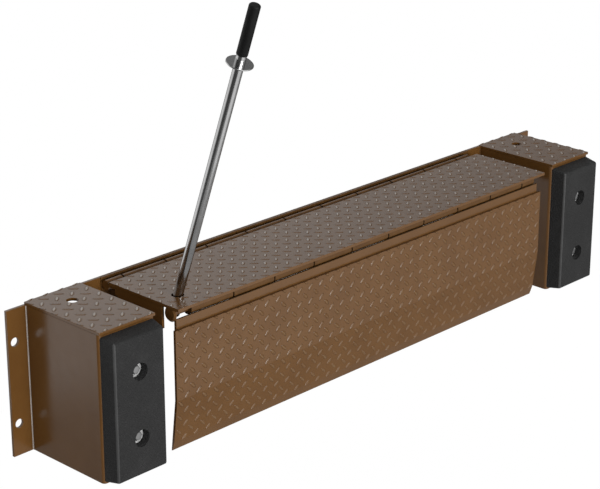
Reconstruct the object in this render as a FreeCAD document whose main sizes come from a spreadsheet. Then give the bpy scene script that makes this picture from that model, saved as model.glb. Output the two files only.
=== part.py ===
"""Edge-of-dock leveler: a hinged deck and lip between two bumper boxes, raised by a hand lever.

Millimetres. +X runs along the dock's edge, -Y points out towards the lorry, +Z is up.
The origin is on the rear face of the mounting plate, at its centre.
"""
import FreeCAD, Part
import os
import re
import Sketcher

doc = FreeCAD.newDocument("leveler")

# Sizes that drive the model: name, value, meaning
SIZES = [
    ("floor_level", 80, "dock floor above the origin, and the top of the boxes"),
    ("plate", 9.5, "tread plate and folded plate"),
    ("deck_half", 915, "half of the deck's and the lip's width"),
    ("deck_drop", 7, "deck's top below the box tops"),
    ("deck_lead", 45, "deck's front edge ahead of the front axis"),
    ("deck_gap", 21.5, "deck's rear edge ahead of the rear axis"),
    ("side_room", 75, "between the deck and a box"),
    ("box_width", 222.5, "width of a box"),
    ("box_reach", 351, "front of a box, from the wall"),
    ("box_depth", 500.6, "height of a box"),
    ("bend", 12, "outer bend radius of folded plate"),
    ("flange", 76, "width of a box flange"),
    ("anchor_radius", 15, "anchor hole in a flange"),
    ("anchor_inset", 26.5, "anchor hole from the flange's free edge"),
    ("anchor_top", 117, "upper anchor hole below the floor"),
    ("anchor_gap", 275.6, "between the two anchor holes"),
    ("store_radius", 19.5, "hole in a box top that stores the lever"),
    ("store_reach", 98, "that hole from the wall"),
    ("back_height", 150, "mounting plate"),
    ("back_plate", 12.7, "mounting plate's thickness"),
    ("rear_reach", 31, "rear hinge axis from the wall"),
    ("rear_drop", 23.7, "rear hinge axis below the floor"),
    ("rear_tube", 16.7, "rear knuckle's outer radius"),
    ("rear_rod", 12.7, "rear rod's radius"),
    ("rear_first", 71, "first rear joint from the deck's left edge"),
    ("front_reach", 330, "front hinge axis from the wall"),
    ("front_drop", 37, "front hinge axis below the floor"),
    ("front_tube", 20.2, "front knuckle's outer radius"),
    ("front_rod", 9.525, "front rod's radius"),
    ("front_first", 75, "first front knuckle from the deck's left edge"),
    ("rod_slack", 0.1, "knuckle bore over the rod, on the radius"),
    ("joint_gap", 1.5, "between neighbouring knuckles"),
    ("last_knuckle", 72, "short knuckle at the right end of a row"),
    ("row_inset", 30, "right end of a row from the deck's right edge"),
    ("foot_lead", 45, "foot of a rear deck knuckle ahead of the rear axis"),
    ("collar", 8, "thickness of the front rod's head"),
    ("collar_inset", 5, "the head's outer face from the deck's left edge"),
    ("side_inset", 3, "outer face of a side plate from the deck's edge"),
    ("side_low", 95, "side plate's lower edge below the floor"),
    ("side_clear", 34.5, "side plate's front edge behind the front axis"),
    ("side_heel", 23.75, "height of a side plate's rear edge"),
    ("bar_face", 20, "lip bar's front face ahead of the front axis"),
    ("bar_top", 7, "lip bar's top edge below the front axis"),
    ("bar_bevel", 23, "lower end of the bar's bevel below the front axis"),
    ("bar_low", 66, "lip bar's lower edge below the front axis"),
    ("bar_inset", 13, "end of the lip bar from the lip's edge"),
    ("lip_top", 84.6, "lip's upper edge below the floor"),
    ("lip_bend", 321.4, "crown of the lip below the floor"),
    ("lip_low", 496.3, "lip's tip below the floor"),
    ("lip_sweep", 22, "how far the tip is set back"),
    ("tip_bevel", 7, "thickness taken off the lip's tip"),
    ("tip_land", 33, "height of that bevel"),
    ("lever_inset", 80.3, "lever from the deck's left edge"),
    ("lever_back", 44, "lever behind the front axis, at the deck's top"),
    ("lean", 19.8, "lever's lean towards the lorry, degrees"),
    ("lever_tube", 15.875, "lever's outer radius"),
    ("lever_wall", 3.2, "lever's wall"),
    ("lever_top", 1030, "lever tube's top above the deck, along it"),
    ("lever_foot", 62, "lever's foot below the deck's top, along it"),
    ("sleeve_fit", 0.05, "guard and grip over the lever, on the radius"),
    ("socket_room", 1, "socket's bore over the lever, on the radius"),
    ("socket_wall", 4, "socket's wall"),
    ("socket_base", 9.7, "socket's closed end"),
    ("hole_room", 4.6, "deck hole over the lever, on the radius"),
    ("seat", 0.3, "lever's foot above the socket's closed end"),
    ("guard_at", 846, "middle of the hand guard along the lever"),
    ("guard_radius", 42, "hand guard"),
    ("guard", 4, "hand guard's thickness"),
    ("grip_at", 875, "lower end of the grip along the lever"),
    ("grip_wall", 1.9, "grip over the lever, on the radius"),
    ("grip_cap", 10, "grip above the lever's top"),
    ("grip_edge", 5, "bevel round the grip's top"),
    ("bumper_out", 54.9, "bumper's depth"),
    ("bumper_half", 101.5, "half of the bumper's width at its back"),
    ("bumper_top", 19, "bumper's back below the floor, top edge"),
    ("bumper_low", 492, "bumper's back below the floor, lower edge"),
    ("nose_taper", 6.5, "each side of the bumper's front inside its back"),
    ("bumper_edge", 4, "rounding of the bumper's edges"),
    ("well_radius", 28.5, "bolt well in the bumper"),
    ("well", 30, "depth of the bolt well"),
    ("well_top", 143.5, "upper bolt below the floor"),
    ("well_gap", 220.9, "between the two bolts"),
    ("bolt_hole", 11, "bolt hole in bumper and box"),
]

# The rest follows from those sizes
BOX_INNER = "(deck_half + side_room)"
BOX_OUTER = "(deck_half + side_room + box_width)"
BOX_MIDDLE = "(deck_half + side_room + box_width/2)"
DECK_UNDER = "(floor_level - deck_drop - plate)"
REAR_Y = "(-rear_reach)"
REAR_Z = "(floor_level - rear_drop)"
FRONT_Y = "(-front_reach)"
FRONT_Z = "(floor_level - front_drop)"
BAR_FACE = "(-front_reach - bar_face)"
SIDE_FACE = "(deck_half - side_inset)"
SIDE_REAR = "(-rear_reach - foot_lead)"
SIDE_FRONT = "(side_clear - front_reach)"
ROW_END = "(deck_half - row_inset)"
LEVER_X = "(lever_inset - deck_half)"
LEVER_Y = "(lever_back - front_reach)"
KNUCKLES = 9

sheet = doc.addObject("Spreadsheet::Sheet", "sizes")
NAMES = set()
for row, (alias, size, note) in enumerate(SIZES, start=1):
    sheet.set("A%d" % row, note)
    sheet.set("B%d" % row, str(size))
    sheet.setAlias("B%d" % row, alias)
    NAMES.add(alias)
doc.recompute()


def link(text):
    """The expression with every size's name tied to the sheet."""
    def tie(match):
        word = match.group(0)
        return "sizes." + word if word in NAMES else word
    return re.sub(r"[A-Za-z_]+", tie, str(text))


def value(text):
    return float(sheet.evalExpression(link(text)))


# Making shapes
def new_body(label):
    body = doc.addObject("PartDesign::Body", label)
    body.Label = label
    body.AllowCompound = True
    return body


def plane_of(body, role):
    for item in body.Origin.OriginFeatures:
        if item.Role == role:
            return item
    raise ValueError(role)


def new_sketch(body, name, role, offset):
    sketch = body.newObject("Sketcher::SketchObject", body.Name + "_" + name)
    sketch.AttachmentSupport = [(plane_of(body, role), "")]
    sketch.MapMode = "FlatFace"
    if offset is not None:
        sketch.setExpression(".AttachmentOffset.Base.z", link(offset))
    return sketch


def pin_point(sketch, index, place, x, y):
    for kind, size in (("DistanceX", x), ("DistanceY", y)):
        number = sketch.addConstraint(Sketcher.Constraint(kind, -1, 1, index, place, value(size)))
        sketch.setExpression("Constraints[%d]" % number, link(size))


def outline(body, name, role, points, offset=None):
    """A closed outline whose corners follow the sheet."""
    sketch = new_sketch(body, name, role, offset)
    spots = [FreeCAD.Vector(value(x), value(y), 0) for x, y in points]
    count = len(spots)
    for index in range(count):
        sketch.addGeometry(Part.LineSegment(spots[index], spots[(index + 1) % count]), False)
    for index in range(count):
        sketch.addConstraint(Sketcher.Constraint("Coincident", index, 2, (index + 1) % count, 1))
    for index, (x, y) in enumerate(points):
        pin_point(sketch, index, 1, x, y)
    return sketch


def circles(body, name, role, rings, offset=None):
    """Circles given as centre x, centre y and radius."""
    sketch = new_sketch(body, name, role, offset)
    for index, (x, y, radius) in enumerate(rings):
        centre = FreeCAD.Vector(value(x), value(y), 0)
        sketch.addGeometry(Part.Circle(centre, FreeCAD.Vector(0, 0, 1), value(radius)), False)
        pin_point(sketch, index, 3, x, y)
        number = sketch.addConstraint(Sketcher.Constraint("Radius", index, value(radius)))
        sketch.setExpression("Constraints[%d]" % number, link(radius))
    return sketch


def pad(body, sketch, length, both=False):
    feature = body.newObject("PartDesign::Pad", sketch.Name + "_pad")
    feature.Profile = sketch
    feature.setExpression("Length", link(length))
    feature.Midplane = both
    sketch.Visibility = False
    doc.recompute()
    return feature


def pocket(body, sketch, length, both=False, back=False):
    feature = body.newObject("PartDesign::Pocket", sketch.Name + "_cut")
    feature.Profile = sketch
    feature.setExpression("Length", link(length))
    feature.Midplane = both
    feature.Reversed = back
    sketch.Visibility = False
    before = body.Shape.Volume
    doc.recompute()
    if not body.Shape.Volume < before - 1:
        raise ValueError("nothing cut: " + feature.Name)
    return feature


def dress(body, kind, size_name, size, wanted):
    """Round or bevel the edges that the test picks."""
    base = body.Tip
    picked = []
    for number, edge in enumerate(base.Shape.Edges, start=1):
        if wanted(edge):
            picked.append("Edge%d" % number)
    if not picked:
        raise ValueError("no edge to dress on " + body.Label)
    feature = body.newObject("PartDesign::" + kind, body.Name + "_edges%d" % len(body.Group))
    feature.Base = (base, picked)
    feature.setExpression(size_name, link(size))
    doc.recompute()
    return feature


def soften(body, radius, wanted):
    return dress(body, "Fillet", "Radius", radius, wanted)


def bevel(body, size, wanted):
    return dress(body, "Chamfer", "Size", size, wanted)


def upright_at(x, y):
    """A test for upright edges through a point of the plan."""
    def test(edge):
        box = edge.BoundBox
        return (box.ZLength > 1 and box.XLength < 0.01 and box.YLength < 0.01
                and abs(box.Center.x - x) < 0.01 and abs(box.Center.y - y) < 0.01)
    return test


# Bumper boxes
def make_box(side, word):
    sign = "%d*" % side
    front_corners = [side * value(x) for x in (BOX_INNER, BOX_OUTER)]
    top = new_body(word + "_box_top")
    sketch = outline(top, "plan", "XY_Plane", [
        (sign + BOX_INNER, "0"),
        (sign + BOX_OUTER, "0"),
        (sign + BOX_OUTER, "-box_reach"),
        (sign + BOX_INNER, "-box_reach"),
    ], "floor_level - plate")
    pad(top, sketch, "plate")
    hole = circles(top, "hole", "XY_Plane", [(sign + BOX_MIDDLE, "-store_reach", "store_radius")],
                   "floor_level")
    pocket(top, hole, "2*plate")
    for x in front_corners:
        soften(top, "bend", upright_at(x, -value("box_reach")))

    shell = new_body(word + "_box_shell")
    sketch = outline(shell, "plan", "XY_Plane", [
        (sign + "(" + BOX_INNER + " - flange)", "0"),
        (sign + "(" + BOX_INNER + " + plate)", "0"),
        (sign + "(" + BOX_INNER + " + plate)", "plate - box_reach"),
        (sign + "(" + BOX_OUTER + " - plate)", "plate - box_reach"),
        (sign + "(" + BOX_OUTER + " - plate)", "0"),
        (sign + "(" + BOX_OUTER + " + flange)", "0"),
        (sign + "(" + BOX_OUTER + " + flange)", "-plate"),
        (sign + BOX_OUTER, "-plate"),
        (sign + BOX_OUTER, "-box_reach"),
        (sign + BOX_INNER, "-box_reach"),
        (sign + BOX_INNER, "-plate"),
        (sign + "(" + BOX_INNER + " - flange)", "-plate"),
    ], "floor_level - box_depth")
    pad(shell, sketch, "box_depth - plate")
    for x in front_corners:
        soften(shell, "bend", upright_at(x, -value("box_reach")))
        soften(shell, "bend - plate", upright_at(x, -value("plate")))
    for x in (BOX_INNER + " + plate", BOX_OUTER + " - plate"):
        soften(shell, "bend - plate", upright_at(side * value(x), value("plate - box_reach")))
        soften(shell, "bend", upright_at(side * value(x), 0))
    anchor = sign + "(" + BOX_OUTER + " + flange - anchor_inset)"
    holes = circles(shell, "anchors", "XZ_Plane", [
        (anchor, "floor_level - anchor_top", "anchor_radius"),
        (anchor, "floor_level - anchor_top - anchor_gap", "anchor_radius"),
    ])
    pocket(shell, holes, "4*plate", both=True)
    holes = circles(shell, "bolt_holes", "XZ_Plane", [
        (sign + BOX_MIDDLE, "floor_level - well_top", "bolt_hole"),
        (sign + BOX_MIDDLE, "floor_level - well_top - well_gap", "bolt_hole"),
    ], "box_reach")
    pocket(shell, holes, "4*plate", both=True)


# Bumpers, tapered blocks with two deep bolt wells
def make_bumper(side, word):
    middle = "%d*%s" % (side, BOX_MIDDLE)
    bumper = new_body(word + "_bumper")

    def face(name, inset, offset):
        left = middle + " - bumper_half + " + inset
        right = middle + " + bumper_half - " + inset
        low = "floor_level - bumper_low + " + inset
        high = "floor_level - bumper_top - " + inset
        return outline(bumper, name, "XZ_Plane", [(left, low), (right, low), (right, high), (left, high)],
                       offset)

    loft = bumper.newObject("PartDesign::AdditiveLoft", bumper.Name + "_loft")
    loft.Profile = face("rear", "0", "box_reach")
    loft.Sections = [face("nose", "nose_taper", "box_reach + bumper_out")]
    loft.Ruled = True
    doc.recompute()
    seat_line = -value("box_reach")

    def off_the_seat(edge):
        return edge.BoundBox.YMin < seat_line - 1

    soften(bumper, "bumper_edge", off_the_seat)
    rows = ["floor_level - well_top", "floor_level - well_top - well_gap"]
    wells = circles(bumper, "wells", "XZ_Plane",
                    [(middle, row, "well_radius") for row in rows], "box_reach + bumper_out")
    pocket(bumper, wells, "well")
    holes = circles(bumper, "holes", "XZ_Plane",
                    [(middle, row, "bolt_hole") for row in rows], "box_reach + bumper_out")
    pocket(bumper, holes, "2*bumper_out")


for side, word in ((-1, "left"), (1, "right")):
    make_box(side, word)
    make_bumper(side, word)

# Mounting plate between the boxes
back = new_body("mounting_plate")
pad(back, outline(back, "face", "XZ_Plane", [
    ("flange - " + BOX_INNER, "-back_height/2"),
    (BOX_INNER + " - flange", "-back_height/2"),
    (BOX_INNER + " - flange", "back_height/2"),
    ("flange - " + BOX_INNER, "back_height/2"),
]), "back_plate")


# Hinges: rows of knuckles that take turns on one rod
def knuckle(body, name, start, end, axis, radius, bore, foot):
    """One knuckle from start to end: a tube with a foot that welds it to its plate."""
    y, z = axis
    length = "(%s) - (%s)" % (end, start)
    pad(body, circles(body, name + "_tube", "YZ_Plane", [(y, z, radius)], start), length)
    pad(body, outline(body, name + "_foot", "YZ_Plane", foot, start), length)
    pocket(body, circles(body, name + "_bore", "YZ_Plane", [(y, z, bore)], start), length, back=True)


def train(body, spans, axis, radius, rod, foot):
    bore = rod + " + rod_slack"
    for index, (start, end) in enumerate(spans):
        knuckle(body, "k%d" % index, start, end, axis, radius, bore, foot)


def spans_of(first, parity):
    """Every other knuckle of the row whose first joint has that inset; the last one is short."""
    pitch = "(2*deck_half - %s - row_inset - last_knuckle)/%d" % (first, KNUCKLES)
    seams = ["(%s - deck_half + %d*%s)" % (first, index, pitch) for index in range(KNUCKLES + 1)]
    spans = []
    for index in range(parity, KNUCKLES + 1, 2):
        start = seams[index] + " + joint_gap/2"
        end = ROW_END if index == KNUCKLES else seams[index + 1] + " - joint_gap/2"
        spans.append((start, end))
    return spans


rear_axis = (REAR_Y, REAR_Z)
front_axis = (FRONT_Y, FRONT_Z)

wall_knuckles = new_body("wall_knuckles")
train(wall_knuckles, spans_of("rear_first", 0), rear_axis, "rear_tube", "rear_rod", [
    ("-back_plate", REAR_Z + " - 2/3*rear_tube"),
    ("-back_plate", REAR_Z + " + 2/3*rear_tube"),
    (REAR_Y, REAR_Z + " + 2/3*rear_tube"),
    (REAR_Y, REAR_Z + " - 2/3*rear_tube"),
])

rear_rod = new_body("rear_hinge_rod")
pad(rear_rod, circles(rear_rod, "rod", "YZ_Plane", [(REAR_Y, REAR_Z, "rear_rod")], "-" + SIDE_FACE),
    SIDE_FACE + " + " + ROW_END)

deck_rear = new_body("deck_rear_knuckles")
end_knuckle = ("-" + SIDE_FACE, "rear_first - deck_half - joint_gap/2")
train(deck_rear, [end_knuckle] + spans_of("rear_first", 1), rear_axis, "rear_tube", "rear_rod", [
    (SIDE_REAR, DECK_UNDER + " - plate"),
    (REAR_Y, DECK_UNDER + " - plate"),
    (REAR_Y, DECK_UNDER),
    (SIDE_REAR, DECK_UNDER),
])

deck_front = new_body("deck_front_knuckles")
train(deck_front, spans_of("front_first", 0), front_axis, "front_tube", "front_rod", [
    (FRONT_Y, FRONT_Z),
    (FRONT_Y + " + front_tube", FRONT_Z),
    (FRONT_Y + " + front_tube", DECK_UNDER),
    (FRONT_Y, DECK_UNDER),
])

front_rod = new_body("front_hinge_rod")
rod_end = "(collar_inset - deck_half)"
pad(front_rod, circles(front_rod, "rod", "YZ_Plane", [(FRONT_Y, FRONT_Z, "front_rod")], rod_end),
    ROW_END + " - " + rod_end)
pad(front_rod, circles(front_rod, "head", "YZ_Plane", [(FRONT_Y, FRONT_Z, "front_tube")], rod_end), "collar")

# Deck
deck = new_body("deck_plate")
pad(deck, outline(deck, "profile", "YZ_Plane", [
    (FRONT_Y + " - deck_lead", DECK_UNDER),
    (REAR_Y + " - deck_gap", DECK_UNDER),
    (REAR_Y + " - deck_gap", DECK_UNDER + " + plate"),
    (FRONT_Y + " - deck_lead", DECK_UNDER + " + plate"),
]), "2*deck_half", both=True)
hole = circles(deck, "lever_hole", "XY_Plane",
               [(LEVER_X, LEVER_Y + " + plate/2*tan(lean)", "lever_tube + hole_room")],
               "floor_level - deck_drop")
pocket(deck, hole, "2*plate")

for side, word in ((-1, "left"), (1, "right")):
    panel = new_body("deck_side_plate_" + word)
    start = "-" + SIDE_FACE if side < 0 else SIDE_FACE + " - plate"
    pad(panel, outline(panel, "profile", "YZ_Plane", [
        (SIDE_REAR, DECK_UNDER),
        (SIDE_FRONT, DECK_UNDER),
        (SIDE_FRONT, "floor_level - side_low"),
        ("(%s + %s)/2" % (SIDE_REAR, SIDE_FRONT), "floor_level - side_low"),
        (SIDE_REAR, DECK_UNDER + " - side_heel"),
    ], start), "plate")

# Lip: a bar along the hinge, the crowned plate welded to its face, and knuckles
bar = new_body("lip_hinge_bar")
pad(bar, outline(bar, "profile", "YZ_Plane", [
    (BAR_FACE, FRONT_Z + " - bar_top"),
    (BAR_FACE, FRONT_Z + " - bar_low"),
    (BAR_FACE + " + plate", FRONT_Z + " - bar_low"),
    (BAR_FACE + " + plate", FRONT_Z + " - bar_bevel"),
]), "2*(deck_half - bar_inset)", both=True)

lip = new_body("lip_plate")
land_back = "lip_sweep*(1 - tip_land/(lip_low - lip_bend))"
pad(lip, outline(lip, "profile", "YZ_Plane", [
    (BAR_FACE, "floor_level - lip_top"),
    (BAR_FACE + " - plate", "floor_level - lip_top"),
    (BAR_FACE + " - plate", "floor_level - lip_bend"),
    (BAR_FACE + " - plate + " + land_back, "floor_level - lip_low + tip_land"),
    (BAR_FACE + " - plate + lip_sweep + tip_bevel", "floor_level - lip_low"),
    (BAR_FACE + " + lip_sweep", "floor_level - lip_low"),
    (BAR_FACE, "floor_level - lip_bend"),
]), "2*deck_half", both=True)

lip_knuckles = new_body("lip_knuckles")
train(lip_knuckles, spans_of("front_first", 1), front_axis, "front_tube", "front_rod", [
    (FRONT_Y, FRONT_Z),
    (BAR_FACE + " + plate", FRONT_Z + " - bar_bevel"),
    (BAR_FACE + " + plate", FRONT_Z + " - 2*front_tube"),
    (FRONT_Y + " + front_tube/2", FRONT_Z + " - front_tube/2*sqrt(3)"),
])


# Lever
def along_lever(body):
    """Stand the body on the lever's axis, its origin at the deck's top."""
    body.setExpression(".Placement.Base.x", link(LEVER_X))
    body.setExpression(".Placement.Base.y", link(LEVER_Y))
    body.setExpression(".Placement.Base.z", link("floor_level - deck_drop"))
    body.Placement = FreeCAD.Placement(body.Placement.Base, FreeCAD.Rotation(FreeCAD.Vector(1, 0, 0), 0))
    body.setExpression(".Placement.Rotation.Angle", link("lean"))
    doc.recompute()


def turned(label, sections):
    """A lever piece turned about its axis: lower end, upper end, outer and inner radius."""
    body = new_body(label)
    for index, (low, high, outer, inner) in enumerate(sections):
        rings = [("0", "0", outer)]
        if inner:
            rings.append(("0", "0", inner))
        pad(body, circles(body, "ring%d" % index, "XY_Plane", rings, low), "(%s) - (%s)" % (high, low))
    return body


along_lever(turned("lever_tube", [("-lever_foot", "lever_top", "lever_tube", "lever_tube - lever_wall")]))
along_lever(turned("lever_hand_guard", [
    ("guard_at - guard/2", "guard_at + guard/2", "guard_radius", "lever_tube + sleeve_fit"),
]))

grip_radius = "(lever_tube + grip_wall)"
grip = turned("lever_grip", [
    ("grip_at", "lever_top + seat", grip_radius, "lever_tube + sleeve_fit"),
    ("lever_top + seat", "lever_top + grip_cap", grip_radius, None),
])
grip_end = value("lever_top + grip_cap")


def at_grip_end(edge):
    return abs(edge.BoundBox.ZMin - grip_end) < 0.01


bevel(grip, "grip_edge", at_grip_end)
along_lever(grip)

# Socket, closed below and cut flush with the deck's underside
socket_radius = "(lever_tube + socket_room + socket_wall)"
socket = turned("lever_socket", [
    ("-lever_foot - seat - socket_base", "0", socket_radius, "lever_tube + socket_room"),
    ("-lever_foot - seat - socket_base", "-lever_foot - seat", socket_radius, None),
])
reach = "(2*%s)" % socket_radius
cut = outline(socket, "deck_cut", "YZ_Plane", [
    ("-" + reach, "(%s*sin(lean) - plate)/cos(lean)" % reach),
    (reach, "(-%s*sin(lean) - plate)/cos(lean)" % reach),
    (reach, reach),
    ("-" + reach, reach),
])
pocket(socket, cut, "2*" + reach, both=True)
along_lever(socket)

# Check and write
doc.recompute()
for item in doc.Objects:
    if "Invalid" in item.State or "Error" in item.State:
        raise ValueError("did not build: " + item.Name)
os.makedirs("parts", exist_ok=True)
for body in [item for item in doc.Objects if item.TypeId == "PartDesign::Body"]:
    shape = body.Shape
    if shape.isNull() or not shape.isValid():
        raise ValueError("bad shape: " + body.Label)
    shape.exportStep("parts/%s.step" % body.Label)
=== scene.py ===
"""Looks of an edge-of-dock leveler: painted tread plate, rubber bumpers and a bright hand lever.

Metres, in the part's own frame: +X along the dock's edge, -Y out towards the lorry, +Z up.
"""
import math

import bmesh
import bpy
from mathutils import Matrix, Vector


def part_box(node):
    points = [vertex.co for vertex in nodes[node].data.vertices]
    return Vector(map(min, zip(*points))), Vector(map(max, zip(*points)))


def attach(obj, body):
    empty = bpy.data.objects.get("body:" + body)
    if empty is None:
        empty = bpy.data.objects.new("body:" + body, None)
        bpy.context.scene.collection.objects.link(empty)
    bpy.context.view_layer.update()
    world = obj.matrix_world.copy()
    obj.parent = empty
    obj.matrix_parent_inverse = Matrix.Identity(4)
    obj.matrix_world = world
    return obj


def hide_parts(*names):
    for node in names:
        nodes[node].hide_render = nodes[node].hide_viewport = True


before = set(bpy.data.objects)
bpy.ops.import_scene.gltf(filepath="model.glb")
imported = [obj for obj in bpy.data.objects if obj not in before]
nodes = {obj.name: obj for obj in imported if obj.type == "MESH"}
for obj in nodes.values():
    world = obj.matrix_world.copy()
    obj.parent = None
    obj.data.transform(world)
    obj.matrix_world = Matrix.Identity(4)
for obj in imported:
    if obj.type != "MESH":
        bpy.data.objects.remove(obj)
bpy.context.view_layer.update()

# The leveler's own sizes
PLATE = 0.0095
FLOOR_LEVEL = 0.080
FRONT_AXIS = (-0.330, FLOOR_LEVEL - 0.037)
REAR_AXIS = (-0.031, FLOOR_LEVEL - 0.0237)
LIP_CROWN = FLOOR_LEVEL - 0.3214
LIP_SWEEP = 0.022
TIP_LAND = 0.033
STORE_HOLE = 0.0195
STORE_REACH = 0.098
DECK_HOLE = 0.0205
LEVER_FOOT = Vector((-0.8347, -0.286, 0.073))
LEVER_LEAN = math.radians(19.8)
WELL_ROWS = (FLOOR_LEVEL - 0.1435, FLOOR_LEVEL - 0.3644)
WELL_DEEP = 0.030
DOCK_HEIGHT = 1.219

# Directions
OUT = Vector((0, -1, 0))
UP = Vector((0, 0, 1))
ALONG = Vector((1, 0, 0))


# Node helpers: a source or a value is a number or another node's output
def feed(tree, socket, value):
    """Set a socket to a number, or link it to an output."""
    if isinstance(value, (int, float)):
        socket.default_value = value
    else:
        tree.links.new(value, socket)


def ramp(tree, source, low, high, low_value=0.0, high_value=1.0, smooth=True):
    """The source's span from low to high, taken to the span of the two values."""
    node = tree.nodes.new("ShaderNodeMapRange")
    node.interpolation_type = "SMOOTHSTEP" if smooth else "LINEAR"
    node.inputs["From Min"].default_value = low
    node.inputs["From Max"].default_value = high
    node.inputs["To Min"].default_value = low_value
    node.inputs["To Max"].default_value = high_value
    tree.links.new(source, node.inputs["Value"])
    return node.outputs["Result"]


def noise(tree, coords, scale, detail=3.0, rough=0.5):
    """Soft cloudy values from 0 to 1."""
    node = tree.nodes.new("ShaderNodeTexNoise")
    node.inputs["Detail"].default_value = detail
    node.inputs["Roughness"].default_value = rough
    feed(tree, node.inputs["Scale"], scale)
    tree.links.new(coords, node.inputs["Vector"])
    return node.outputs["Fac"]


def mixed(tree, share, first, second):
    """The first colour where the share is 0, the second where it is 1."""
    node = tree.nodes.new("ShaderNodeMix")
    node.data_type = "RGBA"
    node.blend_type = "MIX"
    tree.links.new(share, node.inputs["Factor"])
    tree.links.new(first, node.inputs["A"])
    tree.links.new(second, node.inputs["B"])
    return node.outputs["Result"]


def shaded(tree, colour, factor):
    """A colour made darker or paler by a factor."""
    node = tree.nodes.new("ShaderNodeVectorMath")
    node.operation = "SCALE"
    tree.links.new(colour, node.inputs[0])
    tree.links.new(factor, node.inputs["Scale"])
    return node.outputs["Vector"]


def maths(tree, kind, *values):
    """One step of arithmetic."""
    node = tree.nodes.new("ShaderNodeMath")
    node.operation = kind
    for socket, value in zip(node.inputs, values):
        feed(tree, socket, value)
    return node.outputs["Value"]


def new_group(name, inputs, outputs):
    """An empty shared effect with named inputs and outputs."""
    group = bpy.data.node_groups.new(name, "ShaderNodeTree")
    for label, kind, value in inputs:
        item = group.interface.new_socket(label, in_out="INPUT", socket_type=kind)
        item.default_value = value
    for label, kind in outputs:
        group.interface.new_socket(label, in_out="OUTPUT", socket_type=kind)
    entry = group.nodes.new("NodeGroupInput")
    leave = group.nodes.new("NodeGroupOutput")
    return group, entry, leave


# Shared effects
PAINT_BROWN = (0.155, 0.070, 0.018)
PAINT_DEEP = (0.138, 0.061, 0.015)
SKIN_OUTPUTS = [
    ("Colour", "NodeSocketColor"),
    ("Roughness", "NodeSocketFloat"),
    ("Height", "NodeSocketFloat"),
]


def enamel_effect():
    """Sprayed enamel: soft blotches, fine specks, and painted shade that darkens it in crevices."""
    group, entry, leave = new_group("enamel skin", [
        ("Colour", "NodeSocketColor", (*PAINT_BROWN, 1)),
        ("Deep colour", "NodeSocketColor", (*PAINT_DEEP, 1)),
        ("Blotch scale", "NodeSocketFloat", 7.0),
        ("Gloss", "NodeSocketFloat", 0.3),
        ("Crevice shade", "NodeSocketFloat", 1.0),
    ], SKIN_OUTPUTS)
    coords = group.nodes.new("ShaderNodeTexCoord").outputs["Object"]
    blotch = noise(group, coords, entry.outputs["Blotch scale"], 4.0, 0.55)
    share = ramp(group, blotch, 0.35, 0.72)
    paint = mixed(group, share, entry.outputs["Colour"], entry.outputs["Deep colour"])
    specks = noise(group, coords, 900.0, 2.0, 0.6)
    paint = shaded(group, paint, ramp(group, specks, 0.3, 0.7, 0.94, 1.05, smooth=False))
    # Painted shade: the paint is darkened in crevices
    paint = shaded(group, paint, entry.outputs["Crevice shade"])
    group.links.new(paint, leave.inputs["Colour"])
    dull = noise(group, coords, 28.0, 5.0, 0.6)
    spread = ramp(group, dull, 0.3, 0.75, -0.04, 0.07, smooth=False)
    group.links.new(maths(group, "ADD", entry.outputs["Gloss"], spread), leave.inputs["Roughness"])
    group.links.new(noise(group, coords, 420.0, 2.0, 0.5), leave.inputs["Height"])
    return group


def mould_effect():
    """Moulded rubber: a fine leathery skin with rubbed, greyer patches."""
    group, entry, leave = new_group("moulded skin", [
        ("Colour", "NodeSocketColor", (0.03, 0.03, 0.03, 1)),
        ("Rubbed colour", "NodeSocketColor", (0.05, 0.05, 0.05, 1)),
        ("Grain scale", "NodeSocketFloat", 160.0),
    ], SKIN_OUTPUTS)
    coords = group.nodes.new("ShaderNodeTexCoord").outputs["Object"]
    cells = group.nodes.new("ShaderNodeTexVoronoi")
    cells.feature = "DISTANCE_TO_EDGE"
    cells.inputs["Randomness"].default_value = 1.0
    group.links.new(coords, cells.inputs["Vector"])
    group.links.new(entry.outputs["Grain scale"], cells.inputs["Scale"])
    crease = ramp(group, cells.outputs["Distance"], 0.0, 0.25)
    waves = noise(group, coords, 60.0, 4.0, 0.6)
    group.links.new(maths(group, "ADD", crease, waves), leave.inputs["Height"])
    share = ramp(group, noise(group, coords, 11.0, 5.0, 0.6), 0.42, 0.75)
    rubber = mixed(group, share, entry.outputs["Colour"], entry.outputs["Rubbed colour"])
    group.links.new(rubber, leave.inputs["Colour"])
    group.links.new(ramp(group, waves, 0.2, 0.8, 0.46, 0.62, smooth=False), leave.inputs["Roughness"])
    return group


def plating_effect():
    """Bright plating: drawn lines along the lever's length and faint clouding."""
    group, entry, leave = new_group("drawn plating", [
        ("Colour", "NodeSocketColor", (0.55, 0.55, 0.55, 1)),
        ("Gloss", "NodeSocketFloat", 0.2),
        ("Line scale", "NodeSocketFloat", 700.0),
    ], SKIN_OUTPUTS)
    coords = group.nodes.new("ShaderNodeTexCoord").outputs["Object"]
    drawn = group.nodes.new("ShaderNodeMapping")
    drawn.inputs["Rotation"].default_value = (LEVER_LEAN, 0, 0)
    drawn.inputs["Scale"].default_value = (1, 1, 0.02)
    group.links.new(coords, drawn.inputs["Vector"])
    lines = noise(group, drawn.outputs["Vector"], entry.outputs["Line scale"], 3.0, 0.6)
    cloud = noise(group, coords, 22.0, 3.0, 0.5)
    metal = shaded(group, entry.outputs["Colour"], ramp(group, cloud, 0.3, 0.7, 0.9, 1.06, smooth=False))
    group.links.new(metal, leave.inputs["Colour"])
    spread = ramp(group, lines, 0.3, 0.7, -0.03, 0.05, smooth=False)
    group.links.new(maths(group, "ADD", entry.outputs["Gloss"], spread), leave.inputs["Roughness"])
    group.links.new(lines, leave.inputs["Height"])
    return group


ENAMEL = enamel_effect()
MOULD = mould_effect()
PLATING = plating_effect()
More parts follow.
